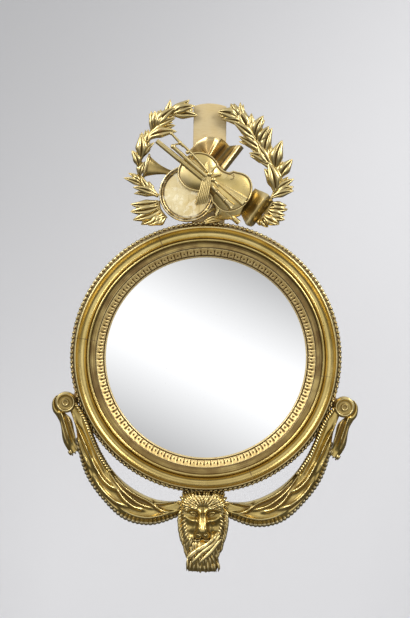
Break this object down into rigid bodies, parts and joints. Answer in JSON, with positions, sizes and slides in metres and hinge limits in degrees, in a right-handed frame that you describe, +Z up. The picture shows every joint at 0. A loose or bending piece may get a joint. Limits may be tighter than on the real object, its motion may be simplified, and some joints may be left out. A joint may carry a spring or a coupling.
{
  "type": "wall mirror",
  "caption": "Round convex wall mirror in a carved giltwood frame with a musical trophy and laurel cresting, drapery swags and a lion mask below.",
  "frame": {"origin": "on the back of the crest board, at the wall plane, midway between the two hanging rings and level with their pivots", "axes": "+Z up, the wall is the plane Y = 0 and the mirror faces -Y; +X is to the right for a person looking at the mirror"},
  "size_m": [0.5982, 0.0676, 0.9443],
  "materials": {
    "giltwood": "carved wood, water gilt over red-brown bole, rubbed and darkened in the hollows",
    "gilt_board": "pale matt gilding on a plain sawn board, bare wood behind",
    "silvered_glass": "silvered glass, clear polished front, dull grey backing",
    "old_pine": "old darkened softwood, planed, unpolished",
    "pine": "softwood, unpolished",
    "brass_hangers": "tarnished brass",
    "steel_screws": "dull slotted steel screws"
  },
  "bodies": {
    "root": {"hollow_moulding": "giltwood", "sight_slip": "giltwood", "bead_strip": "giltwood", "mirror_glass": "silvered_glass", "back_panel": "old_pine", "glass_block_1": "pine", "glass_block_2": "pine", "glass_block_3": "pine", "glass_block_4": "pine", "turn_button_screw_1": "steel_screws", "turn_button_screw_2": "steel_screws", "turn_button_screw_3": "steel_screws", "turn_button_screw_4": "steel_screws", "hanger_plate_left": "brass_hangers", "hanger_plate_right": "brass_hangers", "hanger_screw_left_1": "steel_screws", "hanger_screw_left_2": "steel_screws", "hanger_screw_right_1": "steel_screws", "hanger_screw_right_2": "steel_screws", "crest_board": "gilt_board", "crest_board_screw_1": "steel_screws", "crest_board_screw_2": "steel_screws", "trophy_block": "giltwood", "tambourine": "giltwood", "violin_body": "giltwood", "violin_neck": "giltwood", "violin_tailpiece": "giltwood", "violin_bow": "giltwood", "oboe": "giltwood", "flute": "giltwood", "trumpet": "giltwood", "music_sheet_upper": "giltwood", "music_sheet_lower": "giltwood", "trophy_ribbon": "giltwood", "laurel_branch_left": "giltwood", "laurel_branch_right": "giltwood", "leaf_spray_left": "giltwood", "leaf_spray_right": "giltwood", "swag_cleat_left": "old_pine", "swag_cleat_right": "old_pine", "swag_cleat_screw_left": "steel_screws", "swag_cleat_screw_right": "steel_screws", "swag_roundel_left": "giltwood", "swag_roundel_right": "giltwood", "swag_left": "giltwood", "swag_right": "giltwood", "swag_drop_left": "giltwood", "swag_drop_right": "giltwood", "mask_cleat": "old_pine", "mask_cleat_screw_1": "steel_screws", "mask_cleat_screw_2": "steel_screws", "lion_mask": "giltwood", "mask_drape": "giltwood"},
    "turn_button_1": {"turn_button_1": "pine"},
    "turn_button_2": {"turn_button_2": "pine"},
    "turn_button_3": {"turn_button_3": "pine"},
    "turn_button_4": {"turn_button_4": "pine"},
    "hanger_ring_left": {"hanger_ring_left": "brass_hangers"},
    "hanger_ring_right": {"hanger_ring_right": "brass_hangers"}
  },
  "joints": [
    {"name": "turn_button_1_hinge", "type": "hinge", "parent": "root", "child": "turn_button_1", "pos_m": [0.16688, -0.0145, -0.05512], "axis": [0, 1, 0], "range_deg": [-90, 90]},
    {"name": "turn_button_2_hinge", "type": "hinge", "parent": "root", "child": "turn_button_2", "pos_m": [-0.16688, -0.0145, -0.05512], "axis": [0, 1, 0], "range_deg": [-90, 90]},
    {"name": "turn_button_3_hinge", "type": "hinge", "parent": "root", "child": "turn_button_3", "pos_m": [-0.16688, -0.0145, -0.38888], "axis": [0, 1, 0], "range_deg": [-90, 90]},
    {"name": "turn_button_4_hinge", "type": "hinge", "parent": "root", "child": "turn_button_4", "pos_m": [0.16688, -0.0145, -0.38888], "axis": [0, 1, 0], "range_deg": [-90, 90]},
    {"name": "hanger_ring_left_hinge", "type": "hinge", "parent": "root", "child": "hanger_ring_left", "pos_m": [-0.103, -0.0118, 0], "axis": [1, 0, 0], "range_deg": [0, 180]},
    {"name": "hanger_ring_right_hinge", "type": "hinge", "parent": "root", "child": "hanger_ring_right", "pos_m": [0.103, -0.0118, 0], "axis": [1, 0, 0], "range_deg": [0, 180]}
  ]
}
